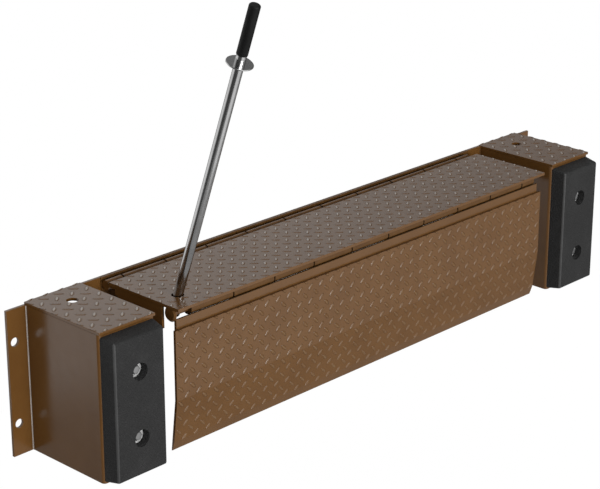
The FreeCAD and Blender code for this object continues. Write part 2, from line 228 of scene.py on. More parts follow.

# Painted crevice shade: how far round a point crevices are felt, and what is left of the paint's colour and
# shine in the deepest
CREVICE_REACH = 0.03
CREVICE_SHINE = 0.12


def crevice_painted_shade(tree):
    """Painted shade: 1 on a face in the open, less in a crevice, where it darkens the paint's colour and
    shine.
    """
    crevice = tree.nodes.new("ShaderNodeAmbientOcclusion")
    crevice.samples = 8
    crevice.inputs["Distance"].default_value = CREVICE_REACH
    return ramp(tree, crevice.outputs["AO"], 0.12, 0.72, CREVICE_SHINE, 1.0)


# Finishes
def finish_of(name, effect, skin_values, shader_values, grain):
    """One shared effect with its own values, feeding the plain shader; grain is (strength, depth)."""
    material = bpy.data.materials.new(name)
    material.use_nodes = True
    tree = material.node_tree
    shader = tree.nodes["Principled BSDF"]
    skin = tree.nodes.new("ShaderNodeGroup")
    skin.node_tree = effect
    for key, value in skin_values.items():
        skin.inputs[key].default_value = value
    for key, value in shader_values.items():
        shader.inputs[key].default_value = value
    # Painted shade: enamel darkens, and loses shine, in crevices
    if "Crevice shade" in skin.inputs:
        clear = crevice_painted_shade(tree)
        tree.links.new(clear, skin.inputs["Crevice shade"])
        shine = maths(tree, "MULTIPLY", clear, shader_values["Specular IOR Level"])
        tree.links.new(shine, shader.inputs["Specular IOR Level"])
    tree.links.new(skin.outputs["Colour"], shader.inputs["Base Color"])
    tree.links.new(skin.outputs["Roughness"], shader.inputs["Roughness"])
    bump = tree.nodes.new("ShaderNodeBump")
    bump.inputs["Strength"].default_value, bump.inputs["Distance"].default_value = grain
    tree.links.new(skin.outputs["Height"], bump.inputs["Height"])
    tree.links.new(bump.outputs["Normal"], shader.inputs["Normal"])
    return material


def enamel(name, colour, deep, blotch, gloss, shine, grain):
    """Brown enamel: clean, grimy at the joints, or darker or paler as painted shade and painted highlights.
    """
    return finish_of(name, ENAMEL,
                     {"Colour": (*colour, 1), "Deep colour": (*deep, 1),
                      "Blotch scale": blotch, "Gloss": gloss},
                     {"IOR": 1.5, "Specular IOR Level": shine}, grain)


def rubber(name, grey, rubbed, cells, shine, grain):
    """Black rubber or vinyl from a mould."""
    return finish_of(name, MOULD,
                     {"Colour": (grey, grey, grey, 1), "Rubbed colour": (rubbed, rubbed, rubbed, 1),
                      "Grain scale": cells},
                     {"Specular IOR Level": shine}, grain)


def plating(name, colour, gloss, lines, metallic, grain):
    """Plated steel."""
    return finish_of(name, PLATING, {"Colour": (*colour, 1), "Gloss": gloss, "Line scale": lines},
                     {"Metallic": metallic}, grain)


folded_enamel = enamel("folded_plate_enamel", PAINT_BROWN, PAINT_DEEP,
                       blotch=6.0, gloss=0.20, shine=0.5, grain=(0.10, 0.0004))
tread_enamel = enamel("tread_plate_enamel", PAINT_BROWN, PAINT_DEEP,
                      blotch=9.0, gloss=0.20, shine=0.5, grain=(0.14, 0.0004))
lug_enamel = enamel("lug_enamel", PAINT_BROWN, PAINT_DEEP,
                    blotch=9.0, gloss=0.34, shine=0.6, grain=(0.05, 0.0002))
# Painted shade: a dark ring round each lug's root. Painted highlights: paler lug crests on the lip and on
# the tops
lug_root_painted_shade = enamel("lug_root_painted_shade", (0.060, 0.027, 0.008), (0.040, 0.018, 0.005),
                   blotch=30.0, gloss=0.45, shine=0.2, grain=(0.05, 0.0002))
lip_crest_painted_highlight = enamel("lip_crest_painted_highlight", (0.20, 0.12, 0.06), (0.17, 0.09, 0.04),
                   blotch=30.0, gloss=0.46, shine=0.22, grain=(0.05, 0.0002))
top_crest_painted_highlight = enamel("top_crest_painted_highlight", (0.46, 0.40, 0.34), (0.38, 0.32, 0.26),
                       blotch=30.0, gloss=0.30, shine=0.8, grain=(0.05, 0.0002))
# Painted highlight: a pale line down each box's outer bend
bend_painted_highlight = enamel("bend_painted_highlight_enamel", (0.42, 0.37, 0.33), (0.33, 0.28, 0.24),
                     blotch=18.0, gloss=0.3, shine=0.8, grain=(0.1, 0.0002))
# Dark joint bands, and painted shade on the lip bar's top edge
joint_grime_and_painted_shade = enamel("joint_grime_and_painted_shade", (0.034, 0.016, 0.004), (0.020, 0.009, 0.002),
                     blotch=40.0, gloss=0.6, shine=0.06, grain=(0.2, 0.0003))
hinge_enamel = enamel("hinge_enamel", PAINT_BROWN, (0.10, 0.044, 0.011),
                      blotch=24.0, gloss=0.24, shine=0.5, grain=(0.2, 0.0005))
# Painted shade: a darker copy of the enamel for the front hinge's knuckles and the mounting plate, which lie
# in shade
shaded_hinge_enamel = enamel("painted_shade_hinge_enamel", (0.125, 0.056, 0.013), (0.10, 0.044, 0.010),
                     blotch=24.0, gloss=0.4, shine=0.3, grain=(0.2, 0.0005))
bumper_rubber = rubber("bumper_rubber", 0.031, 0.038, cells=120.0, shine=0.12, grain=(0.8, 0.0016))
# Painted highlight: paler rubber for the bumpers' left front edges
bumper_edge_painted_highlight = rubber("bumper_edge_painted_highlight", 0.062, 0.080, cells=120.0, shine=0.25, grain=(0.3, 0.0008))
grip_vinyl = rubber("grip_vinyl", 0.007, 0.010, cells=500.0, shine=0.15, grain=(0.2, 0.0003))
lever_plating = plating("lever_plating", (0.50, 0.50, 0.50),
                        gloss=0.17, lines=500.0, metallic=1.0, grain=(0.08, 0.0002))
zinc_plating = plating("zinc_plating", (0.92, 0.92, 0.91),
                       gloss=0.45, lines=160.0, metallic=0.8, grain=(0.1, 0.0002))
bolt_plating = plating("bolt_plating", (0.36, 0.36, 0.36),
                       gloss=0.36, lines=120.0, metallic=1.0, grain=(0.2, 0.0003))

# What each node wears; the others are folded plate
NODE_FINISHES = (
    (tread_enamel, ("left_box_top", "right_box_top", "deck_plate", "lip_plate")),
    (hinge_enamel, ("wall_knuckles", "deck_rear_knuckles", "rear_hinge_rod", "front_hinge_rod")),
    # Painted shade on the front knuckles and the mounting plate
    (shaded_hinge_enamel, ("lip_knuckles", "deck_front_knuckles", "mounting_plate")),
    (bumper_rubber, ("left_bumper", "right_bumper")),
    (lever_plating, ("lever_tube", "lever_hand_guard")),
    (grip_vinyl, ("lever_grip",)),
)


def dress(name, material):
    """Give a CAD node its finish."""
    mesh = nodes[name].data
    mesh.materials.clear()
    mesh.materials.append(material)


for name in nodes:
    dress(name, folded_enamel)
for material, wearers in NODE_FINISHES:
    for name in wearers:
        dress(name, material)


# Making pieces
def placed(name, mesh, body, stands_for=None):
    """A piece in the scene, riding on its body; it may stand in for a node."""
    piece = bpy.data.objects.new(name, mesh)
    bpy.context.scene.collection.objects.link(piece)
    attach(piece, body)
    if stands_for:
        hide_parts(stands_for)
    return piece


def mesh_from(name, mesh_maker):
    """A mesh drawn by one function, its faces turned outwards."""
    shape = bmesh.new()
    mesh_maker(shape)
    bmesh.ops.recalc_face_normals(shape, faces=shape.faces)
    mesh = bpy.data.meshes.new(name)
    shape.to_mesh(mesh)
    shape.free()
    return mesh


def new_piece(name, mesh_maker, material, body, stands_for=None, smooth=True):
    """A piece whose mesh comes from one function."""
    mesh = mesh_from(name, mesh_maker)
    for face in mesh.polygons:
        face.use_smooth = smooth
    mesh.materials.append(material)
    return placed(name, mesh, body, stands_for)


def reshaped(name, node, move, body):
    """A node's own form, finely adjusted: move(point) gives each point's shift."""
    mesh = nodes[node].data.copy()
    mesh.name = name
    for vertex in mesh.vertices:
        vertex.co += Vector(move(vertex.co))
    return placed(name, mesh, body, node)


def sharp_edges(piece, angle=35):
    """Keep edges crisp where faces meet at more than the angle."""
    edges = bmesh.new()
    edges.from_mesh(piece.data)
    for edge in edges.edges:
        if len(edge.link_faces) == 2 and edge.calc_face_angle(0) > math.radians(angle):
            edge.smooth = False
    edges.to_mesh(piece.data)
    edges.free()


# Faces smaller than the area belong to a rounded edge; points nearer than NEAR count as on a face
FLAT_AREA = 0.0015
ROUNDED_ANGLE = 50
NEAR = 0.0001


def round_only_edges(piece):
    """Smooth shading on the rounded edges, large sides left flat between them."""
    sharp_edges(piece, ROUNDED_ANGLE)
    for face in piece.data.polygons:
        face.use_smooth = face.area < FLAT_AREA


def cut(piece, cutter_maker):
    """Take the cutter's shape out of a piece."""
    cutter = bpy.data.objects.new("cutter", mesh_from("cutter", cutter_maker))
    bpy.context.scene.collection.objects.link(cutter)
    step = piece.modifiers.new("cut", "BOOLEAN")
    step.operation = "DIFFERENCE"
    step.solver = "EXACT"
    step.object = cutter
    bpy.context.view_layer.update()
    ready = piece.evaluated_get(bpy.context.evaluated_depsgraph_get())
    result = bpy.data.meshes.new_from_object(ready)
    piece.modifiers.remove(step)
    piece.data = result
    bpy.data.objects.remove(cutter)


# Shapes that several pieces share
def block(shape, low, high, shrink=0):
    """A box from low to high whose front face is smaller by shrink all round."""
    corners = []
    for y, less in ((high.y, 0), (low.y, shrink)):
        for x, z in ((low.x + less, low.z + less), (high.x - less, low.z + less),
                     (high.x - less, high.z - less), (low.x + less, high.z - less)):
            corners.append(shape.verts.new((x, y, z)))
    for ring in ((0, 1, 2, 3), (4, 5, 6, 7), (0, 1, 5, 4), (1, 2, 6, 5), (2, 3, 7, 6), (3, 0, 4, 7)):
        shape.faces.new([corners[index] for index in ring])


def rounded(shape, edges, size, steps):
    """Round some edges of a shape."""
    bmesh.ops.recalc_face_normals(shape, faces=shape.faces)
    bmesh.ops.bevel(shape, geom=edges, offset=size, segments=steps, profile=0.5, affect="EDGES")


def turn_profile(shape, profile, origin, axis, steps):
    """Turns a profile of (distance along, radius) about an axis; radius 0 closes an end."""
    axis = axis.normalized()
    side = axis.orthogonal().normalized()
    other = axis.cross(side)
    rings = []
    for along, radius in profile:
        centre = origin + axis * along
        if radius == 0:
            rings.append([shape.verts.new(centre)])
            continue
        rings.append([
            shape.verts.new(centre + (side * math.cos(turn) + other * math.sin(turn)) * radius)
            for turn in (2 * math.pi * step / steps for step in range(steps))
        ])
    for first, second in zip(rings, rings[1:]):
        for step in range(steps):
            after = (step + 1) % steps
            if len(first) == 1:
                shape.faces.new((first[0], second[step], second[after]))
            elif len(second) == 1:
                shape.faces.new((first[step], first[after], second[0]))
            else:
                shape.faces.new((first[step], first[after], second[after], second[step]))


def round_corner(along, radius, size, steps, rising=True):
    """Points of a quarter round at a turned piece's end."""
    points = []
    for step in range(steps + 1):
        turn = math.pi / 2 * step / steps
        points.append((along + size * (1 - math.cos(turn)) * (1 if rising else -1),
                       radius - size + size * math.sin(turn)))
    return points if rising else points[::-1]


HOLE_STEPS = 64


def holes_shape(centres, radius, deep, axis):
    """A cutter for round holes, from each centre along the axis."""
    def shape_holes(shape):
        for centre in centres:
            turn_profile(shape, [(0, 0), (0, radius), (deep, radius), (deep, 0)], centre, axis, HOLE_STEPS)
    return shape_holes


# Tread lugs: two slanting families on a square lattice, each a lens of rings given as shares of its half
# length, half width and height; finish 0 is paint, 1 is painted shade round the root and 2 is the painted
# highlight on the crest
LUG_PITCH = 0.05062
LID_PITCH = 0.0593
LUG_LONG = 0.0142
LUG_WIDE = 0.0056
LUG_HIGH = 0.0014
LIP_LUG_HIGH = 0.0016
LUG_SLANT = math.radians(45)
LUG_STEPS = 14
LUG_LEVELS = ((1.12, 1.16, -0.03), (0.98, 0.97, 0.06), (0.95, 0.84, 0.26), (0.91, 0.66, 0.52),
              (0.85, 0.46, 0.76), (0.76, 0.28, 0.92), (0.60, 0.12, 0.99))
LUG_FINISHES = (1, 0, 0, 0, 2, 2, 2)
PART_LUG = 0.8


def add_lug(shape, centre, slant, has_crest_highlight, place, keep_in, size, high):
    """One lens-shaped lug. place(u, v, height) puts a point of the plate's face in space."""
    cos_slant, sin_slant = math.cos(slant), math.sin(slant)
    rings = []
    for reach, spread, height in LUG_LEVELS:
        ring = []
        for step in range(LUG_STEPS):
            turn = 2 * math.pi * step / LUG_STEPS
            along = LUG_LONG * size * reach * math.cos(turn)
            across = LUG_WIDE * size * spread * math.sin(turn)
            u, v = keep_in(centre[0] + along * cos_slant - across * sin_slant,
                           centre[1] + along * sin_slant + across * cos_slant)
            ring.append(shape.verts.new(place(u, v, height * high)))
        rings.append(ring)
    for lower, upper, finish in zip(rings, rings[1:], LUG_FINISHES):
        for step in range(LUG_STEPS):
            after = (step + 1) % LUG_STEPS
            face = shape.faces.new((lower[step], lower[after], upper[after], upper[step]))
            face.material_index = finish if has_crest_highlight or finish < 2 else 0
    crest = shape.verts.new(place(*keep_in(*centre), high))
    for step in range(LUG_STEPS):
        face = shape.faces.new((rings[-1][step], rings[-1][(step + 1) % LUG_STEPS], crest))
        face.material_index = LUG_FINISHES[-1] if has_crest_highlight else 0


def lattice(low, high, start, pitch):
    """Lattice lines between low and high through start, with those just outside."""
    first = math.floor((low - LUG_LONG - start) / pitch) + 1
    last = math.floor((high + LUG_LONG - start) / pitch)
    return [start + index * pitch for index in range(first, last + 1)]


def two_families(start, pitch, slants, has_crest_highlight):
    """Both families' starts, slants and whether their crests get the painted highlight; one lies between the
    other.
    """
    u, v = start
    return [((u, v), slants[0], has_crest_highlight[0]), ((u + pitch / 2, v + pitch / 2), slants[1], has_crest_highlight[1])]


def lugs_on(name, span_u, span_v, families, place, hole, body, crest, pitch=LUG_PITCH, high=LUG_HIGH):
    """All the lugs of one plate, cut at its edges and round its hole."""
    low_u, high_u = span_u
    low_v, high_v = span_v
    outside = PART_LUG * LUG_LONG * math.cos(LUG_SLANT)

    def keep_in(u, v):
        if hole:
            (hole_u, hole_v), radius = hole
            away = math.hypot(u - hole_u, v - hole_v)
            if away < radius:
                u = hole_u + (u - hole_u) * radius / away
                v = hole_v + (v - hole_v) * radius / away
        return min(max(u, low_u), high_u), min(max(v, low_v), high_v)

    def has_room(u, v):
        if not low_u - outside <= u <= high_u + outside:
            return False
        if not low_v - outside <= v <= high_v + outside:
            return False
        return not hole or math.hypot(u - hole[0][0], v - hole[0][1]) >= hole[1] + LUG_WIDE

    def shape_lugs(shape):
        for (start_u, start_v), slant, has_crest_highlight in families:
            for u in lattice(low_u, high_u, start_u, pitch):
                for v in lattice(low_v, high_v, start_v, pitch):
                    if has_room(u, v):
                        add_lug(shape, (u, v), slant, has_crest_highlight, place, keep_in, pitch / LUG_PITCH, high)

    piece = new_piece(name, shape_lugs, lug_enamel, body)
    piece.data.materials.append(lug_root_painted_shade)
    piece.data.materials.append(crest)
    return piece


def flat_place(level):
    """Points of a level plate: u runs along X and v along Y."""
    def place(u, v, height):
        return (u, v, level + height)
    return place


# Tops: the first lug of each plate, and how far a lid stands out over its box's front
DECK_START = (0.0005, -0.2884)
LID_STARTS = {"left": (-1.0092, -0.1745), "right": (1.0705, -0.1735)}
TOP_SLANTS = (LUG_SLANT, -LUG_SLANT)
TOP_CREST_HIGHLIGHT = (True, False)
LID_LEAD = 0.0035

deck_low, deck_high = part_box("deck_plate")
lugs_on("deck_lugs", (deck_low.x, deck_high.x), (deck_low.y, deck_high.y),
        two_families(DECK_START, LUG_PITCH, TOP_SLANTS, TOP_CREST_HIGHLIGHT), flat_place(deck_high.z),
        ((LEVER_FOOT.x, LEVER_FOOT.y), DECK_HOLE), "deck", top_crest_painted_highlight)

for word in ("left", "right"):
    low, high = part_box(word + "_box_top")
    lugs_on(word + "_box_lugs", (low.x, high.x), (low.y - LID_LEAD, high.y),
            two_families(LID_STARTS[word], LID_PITCH, TOP_SLANTS, TOP_CREST_HIGHLIGHT), flat_place(high.z),
            (((low.x + high.x) / 2, -STORE_REACH), STORE_HOLE), "wall_frame", top_crest_painted_highlight, LID_PITCH)

# Lip, its bar and the mounting plate: the nodes' forms with a longer tip, a lower and a higher top edge
LIP_MORE = 0.0038
BAR_LESS = 0.005
BACK_MORE = 0.003
LIP_START = (0.0133, -0.0542 - LIP_CROWN)

bar_low, bar_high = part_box("lip_hinge_bar")
bar_high.z -= BAR_LESS
reshaped("lip_sheet", "lip_plate", lambda point: (0, 0, -LIP_MORE if point.z < LIP_CROWN - TIP_LAND else 0),
         "lip")
reshaped("lip_bar", "lip_hinge_bar", lambda point: (0, 0, -BAR_LESS if point.z > bar_high.z else 0),
         "lip")
reshaped("back_plate", "mounting_plate", lambda point: (0, 0, BACK_MORE if point.z > 0 else 0),
         "wall_frame")

lip_low, lip_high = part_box("lip_plate")
lip_low.z -= LIP_MORE
LIP_FACE = lip_low.y
LIP_FALL = Vector((0, LIP_SWEEP, lip_low.z - LIP_CROWN)).normalized()
LIP_OUT = Vector((0, LIP_FALL.z, -LIP_FALL.y))
LIP_STRAIGHT = lip_high.z - LIP_CROWN
LIP_SLOPE = math.hypot(LIP_SWEEP, LIP_CROWN - lip_low.z)


def lip_place(u, v, height):
    """v is measured from the crown, upwards on the straight part and down the slope below it."""
    if v >= 0:
        return Vector((u, LIP_FACE - height, LIP_CROWN + v))
    return Vector((u, LIP_FACE, LIP_CROWN)) + LIP_FALL * -v + LIP_OUT * height


lugs_on("lip_lugs", (lip_low.x, lip_high.x), (TIP_LAND - LIP_SLOPE, LIP_STRAIGHT),
        two_families(LIP_START, LUG_PITCH, (-LUG_SLANT, LUG_SLANT), (True, True)),
        lip_place, None, "lip", lip_crest_painted_highlight, high=LIP_LUG_HIGH)

# Hand lever: distances are along it, from the deck's top
LEVER_AXIS = Vector((0, -math.sin(LEVER_LEAN), math.cos(LEVER_LEAN)))
TUBE = 0.015875
TUBE_BORE = 0.0127
TUBE_FOOT = -0.062
TUBE_TOP = 1.030
TUBE_EDGE = 0.001
TUBE_STEPS = 72
SLEEVE_FIT = 0.00005
GRIP = 0.0177
GRIP_START = 0.875
GRIP_END = 1.040
GRIP_EDGES = (0.0015, 0.006)
GRIP_STEPS = 64
GUARD = 0.042
GUARD_AT = 0.846
GUARD_HALF = 0.002
GUARD_EDGE = 0.0012


def shaft_shape(shape):
    profile = [(TUBE_FOOT, TUBE_BORE), (TUBE_FOOT, TUBE - TUBE_EDGE), (TUBE_FOOT + TUBE_EDGE, TUBE),
               (TUBE_TOP, TUBE), (TUBE_TOP, TUBE_BORE), (TUBE_FOOT, TUBE_BORE)]
    turn_profile(shape, profile, LEVER_FOOT, LEVER_AXIS, TUBE_STEPS)


def guard_shape(shape):
    low, high = GUARD_AT - GUARD_HALF, GUARD_AT + GUARD_HALF
    bore = TUBE + SLEEVE_FIT
    profile = [(low, bore), (low, GUARD - GUARD_EDGE), (low + GUARD_EDGE, GUARD), (high - GUARD_EDGE, GUARD),
               (high, GUARD - GUARD_EDGE), (high, bore), (low, bore)]
    turn_profile(shape, profile, LEVER_FOOT, LEVER_AXIS, TUBE_STEPS)


def grip_shape(shape):
    low_edge, top_edge = GRIP_EDGES
    profile = [(GRIP_START, TUBE + SLEEVE_FIT)]
    profile += round_corner(GRIP_START, GRIP, low_edge, 3)
    profile += [(GRIP_END - top_edge, GRIP)]
    profile += round_corner(GRIP_END, GRIP, top_edge, 6, rising=False)[1:]
    profile += [(GRIP_END, 0)]
    turn_profile(shape, profile, LEVER_FOOT, LEVER_AXIS, GRIP_STEPS)


for name, maker, material, slot, node in (
        ("lever_shaft", shaft_shape, lever_plating, "lever_steel", "lever_tube"),
        ("hand_guard_disc", guard_shape, lever_plating, "lever_steel", "lever_hand_guard"),
        ("rubber_grip", grip_shape, grip_vinyl, "grip_rubber", "lever_grip")):
    sharp_edges(new_piece(name, maker, material, "lever", node))

# Box lids and bumpers; a bumper's rounded faces that lean this far left and out get a paler painted
# highlight
LID_ROUND = 0.0012
BUMPER_HALF = 0.1065
BUMPER_TOP = FLOOR_LEVEL - 0.017
BUMPER_LOW = FLOOR_LEVEL - 0.495
BUMPER_TAPER = 0.0085
BUMPER_ROUND = 0.007
WELL = 0.0285
HIGHLIGHT_LEFT = -0.3
HIGHLIGHT_OUT = -0.25
THROUGH = 0.01


def make_lid(word):
    """A plate that stands out a little over the box's front, with the lever's storage hole."""
    low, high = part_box(word + "_box_top")
    centre = Vector(((low.x + high.x) / 2, -STORE_REACH, low.z - THROUGH))

    def lid_shape(shape):
        block(shape, Vector((low.x, low.y - LID_LEAD, low.z)), high)
        rounded(shape, shape.edges[:], LID_ROUND, 2)

    lid = new_piece(word + "_lid", lid_shape, tread_enamel, "wall_frame", word + "_box_top")
    cut(lid, holes_shape([centre], STORE_HOLE, PLATE + 2 * THROUGH, UP))
    round_only_edges(lid)


def make_bumper(word):
    """A tapered block with rounded edges and two wells, its left front edge painted paler as a highlight."""
    low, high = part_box(word + "_bumper")
    middle = (low.x + high.x) / 2
    wells = [Vector((middle, low.y + WELL_DEEP, row)) for row in WELL_ROWS]

    def bumper_shape(shape):
        block(shape, Vector((middle - BUMPER_HALF, low.y, BUMPER_LOW)),
              Vector((middle + BUMPER_HALF, high.y, BUMPER_TOP)), BUMPER_TAPER)
        front = [edge for edge in shape.edges if min(vertex.co.y for vertex in edge.verts) < low.y + NEAR]
        rounded(shape, front, BUMPER_ROUND, 5)

    bumper = new_piece(word + "_rubber_block", bumper_shape, bumper_rubber, "wall_frame",
                       word + "_bumper")
    cut(bumper, holes_shape(wells, WELL, WELL_DEEP + 2 * THROUGH, OUT))
    round_only_edges(bumper)
    # Painted highlight on the left front rounded edge
    bumper.data.materials.append(bumper_edge_painted_highlight)
    for face in bumper.data.polygons:
        if face.normal.x < HIGHLIGHT_LEFT and face.normal.y < HIGHLIGHT_OUT and face.area < FLAT_AREA:
            face.material_index = 1


for word in ("left", "right"):
    make_lid(word)
    make_bumper(word)

# Front rod's head: a bevelled disc with a flat under the deck
HEAD = 0.0255
HEAD_INNER = -0.9045
HEAD_THICK = 0.0075
HEAD_EDGE = 0.005
HEAD_STEPS = 96
UNDER_DECK = 0.0003


def head_shape(shape):
    profile = [(0, 0), (0, HEAD), (HEAD_THICK - HEAD_EDGE, HEAD),
               (HEAD_THICK, HEAD - HEAD_EDGE), (HEAD_THICK, 0)]
    turn_profile(shape, profile, Vector((HEAD_INNER, *FRONT_AXIS)), -ALONG, HEAD_STEPS)
    for vertex in shape.verts:
        vertex.co.z = min(vertex.co.z, deck_low.z - UNDER_DECK)


sharp_edges(new_piece("front_rod_cap", head_shape, hinge_enamel, "deck"), 25)

# Grime at the joints of both hinge rows: name, first and last joint, tube's radius, axis, bodies
HINGE_ROWS = (
    ("front", -0.840, 0.813, 0.0202, FRONT_AXIS, ("deck", "lip")),
    ("rear", -0.844, 0.813, 0.0167, REAR_AXIS, ("wall_frame", "deck")),
)
JOINTS = 10
BAND_START = 0.00075
BAND_END = 0.0030
BAND_THICK = 0.0003
BAND_DEEP = 0.001
BAND_STEPS = 48


def make_bands(row, first_x, last_x, radius, axis, body, turn_about):
    """Thin bands on one body's tube ends, right or left of each joint in turn."""
    wide = BAND_END - BAND_START
    profile = [(0, radius - BAND_DEEP), (0, radius + BAND_THICK), (wide, radius + BAND_THICK),
               (wide, radius - BAND_DEEP), (0, radius - BAND_DEEP)]

    def bands_shape(shape):
        for joint in range(JOINTS):
            x = first_x + (last_x - first_x) * joint / (JOINTS - 1)
            right_side = joint % 2 == turn_about
            if joint == 0 and not right_side and row == "front":
                continue
            start = BAND_START if right_side else -BAND_END
            turn_profile(shape, profile, Vector((x + start, *axis)), ALONG, BAND_STEPS)

    sharp_edges(new_piece("%s_joint_bands_%s" % (row, body), bands_shape, joint_grime_and_painted_shade, body))


for row, first_x, last_x, radius, axis, bodies in HINGE_ROWS:
    for turn_about, body in enumerate(bodies):
        make_bands(row, first_x, last_x, radius, axis, body, turn_about)

# Painted shade: a dark strip on the bar's top edge, under the front hinge
SHADE_STRIP_WIDE = 0.0034
SHADE_STRIP_THICK = 0.0004
SHADE_STRIP_INSET = 0.002
SHADE_STRIP_TOP = 0.0002


def shade_strip_shape(shape):
    block(shape, Vector((bar_low.x + SHADE_STRIP_INSET, bar_low.y - SHADE_STRIP_THICK, bar_high.z - SHADE_STRIP_WIDE)),
          Vector((bar_high.x - SHADE_STRIP_INSET, bar_low.y + SHADE_STRIP_THICK, bar_high.z - SHADE_STRIP_TOP)))


new_piece("bar_painted_shade", shade_strip_shape, joint_grime_and_painted_shade, "lip", smooth=False)

# Flanges: their tops raised to the mounting plate's, their bends painted pale as a highlight
INNER_MORE = 0.0075
OUTER_MORE = 0.002
FLANGE_FRONT = -0.0125
FLANGE_TOP = 0.06
BEND_SIZE = 0.003
BEND_STEPS = 6
BEND_SHORT = 0.001


def make_flanges(side, word):
    """A box's shell with its flanges' tops raised, and a painted highlight line down its outer bend."""
    lid_low, lid_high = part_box(word + "_box_top")
    inner_wall, outer_wall = sorted((abs(lid_low.x), abs(lid_high.x)))
    shell_low, shell_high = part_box(word + "_box_shell")

    def raise_flanges(point):
        if point.y < FLANGE_FRONT or point.z < FLANGE_TOP:
            return (0, 0, 0)
        if abs(point.x) < inner_wall:
            return (0, 0, INNER_MORE)
        return (0, 0, OUTER_MORE if abs(point.x) > outer_wall + NEAR else 0)

    def bend_shape(shape):
        rings = []
        for z in (shell_low.z + BEND_SHORT, shell_high.z - BEND_SHORT):
            ring = [shape.verts.new((side * outer_wall, -PLATE, z))]
            for step in range(BEND_STEPS + 1):
                turn = math.pi / 2 * step / BEND_STEPS
                ring.append(shape.verts.new((side * (outer_wall + BEND_SIZE * (1 - math.sin(turn))),
                                             -PLATE - BEND_SIZE * (1 - math.cos(turn)), z)))
            rings.append(ring)
        lower, upper = rings
        for step in range(len(lower)):
            after = (step + 1) % len(lower)
            shape.faces.new((lower[step], lower[after], upper[after], upper[step]))
        shape.faces.new(lower)
        shape.faces.new(upper)

    reshaped(word + "_shell", word + "_box_shell", raise_flanges, "wall_frame")
    sharp_edges(new_piece(word + "_flange_bend", bend_shape, bend_painted_highlight, "wall_frame"))


for side, word in ((-1, "left"), (1, "right")):
    make_flanges(side, word)

# Bumper bolts: washer and low head in each well, washer and nut behind the box's front plate
BOLT = 0.0095
BOLT_TIP = 0.001
BOLT_PAST_NUT = 0.006
BOLT_STEPS = 32
WASHER_THICK = 0.003
WASHER_EDGE = 0.0006
WASHER_STEPS = 48
WELL_WASHER = 0.026
NUT_WASHER = 0.022
HEXAGON_HALF = 0.0135
HEXAGON_CHAMFER = 0.002
HEXAGON_FACE = HEXAGON_HALF * 0.95
HEAD_HIGH = 0.009
NUT_HIGH = 0.012


def add_washer(shape, origin, outer):
    profile = [(0, BOLT), (0, outer), (WASHER_THICK - WASHER_EDGE, outer),
               (WASHER_THICK, outer - WASHER_EDGE), (WASHER_THICK, BOLT), (0, BOLT)]
    turn_profile(shape, profile, origin, OUT, WASHER_STEPS)


def add_hexagon(shape, origin, high, way):
    """A six-sided head or nut whose outer face is chamfered to a circle; way is 1 out, -1 in."""
    corner = HEXAGON_HALF / math.cos(math.pi / 6)
    levels = [(0, corner), (high - HEXAGON_CHAMFER, corner), (high, HEXAGON_FACE)]
    rings = []
    for depth, radius in levels:
        rings.append([
            shape.verts.new(origin + OUT * depth * way
                            + Vector((math.cos(turn) * radius, 0, math.sin(turn) * radius)))
            for turn in (math.pi / 3 * step for step in range(6))
        ])
    for first, second in zip(rings, rings[1:]):
        for step in range(6):
            after = (step + 1) % 6
            shape.faces.new((first[step], first[after], second[after], second[step]))
    shape.faces.new(rings[0])
    shape.faces.new(rings[-1])


def make_bolts(word):
    """Both bolts of one bumper, with their washers and nuts."""
    low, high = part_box(word + "_bumper")
    middle = (low.x + high.x) / 2
    well_floor = low.y + WELL_DEEP
    nut_face = high.y + PLATE + WASHER_THICK
    tip = nut_face + NUT_HIGH + BOLT_PAST_NUT
    long = tip - well_floor + WASHER_THICK

    def washers_shape(shape):
        for row in WELL_ROWS:
            add_washer(shape, Vector((middle, well_floor, row)), WELL_WASHER)
            add_washer(shape, Vector((middle, nut_face, row)), NUT_WASHER)

    def bolts_shape(shape):
        profile = [(0, 0), (0, BOLT - BOLT_TIP), (BOLT_TIP, BOLT), (long, BOLT), (long, 0)]
        for row in WELL_ROWS:
            add_hexagon(shape, Vector((middle, well_floor - WASHER_THICK, row)), HEAD_HIGH, 1)
            add_hexagon(shape, Vector((middle, nut_face, row)), NUT_HIGH, -1)
            turn_profile(shape, profile, Vector((middle, tip, row)), OUT, BOLT_STEPS)

    for part, maker, material in (("washers", washers_shape, zinc_plating),
                                  ("bolts", bolts_shape, bolt_plating)):
        sharp_edges(new_piece("%s_bumper_%s" % (word, part), maker, material, "wall_frame"))


for word in ("left", "right"):
    make_bolts(word)

# Camera at the photograph's place
CAMERA_PLACE = (-4.52996, -4.38860, 2.31351)
CAMERA_AIM = Vector((0.67254725, 0.65081604, -0.35230481))
SENSOR = 36
LENS = 114.96


def photo_camera():
    view = bpy.data.cameras.new("camera")
    view.sensor_fit = "HORIZONTAL"
    view.sensor_width = SENSOR
    view.lens = LENS
    view.clip_end = 60
    camera = bpy.data.objects.new("camera", view)
    bpy.context.scene.collection.objects.link(camera)
    camera.location = CAMERA_PLACE
    camera.rotation_mode = "QUATERNION"
    camera.rotation_quaternion = CAMERA_AIM.to_track_quat("-Z", "Y")
    bpy.context.scene.camera = camera


photo_camera()

# Studio floor: its corners, its paleness and how far the camera sees it as plain white
FLOOR_CORNERS = ((-2.6, -1.7), (2.8, -1.7), (2.8, 1.5), (-2.6, 1.5))
FLOOR_GREY = 0.75
FLOOR_WHITE = 1.06
FLOOR_WHITE_SHARE = 0.92


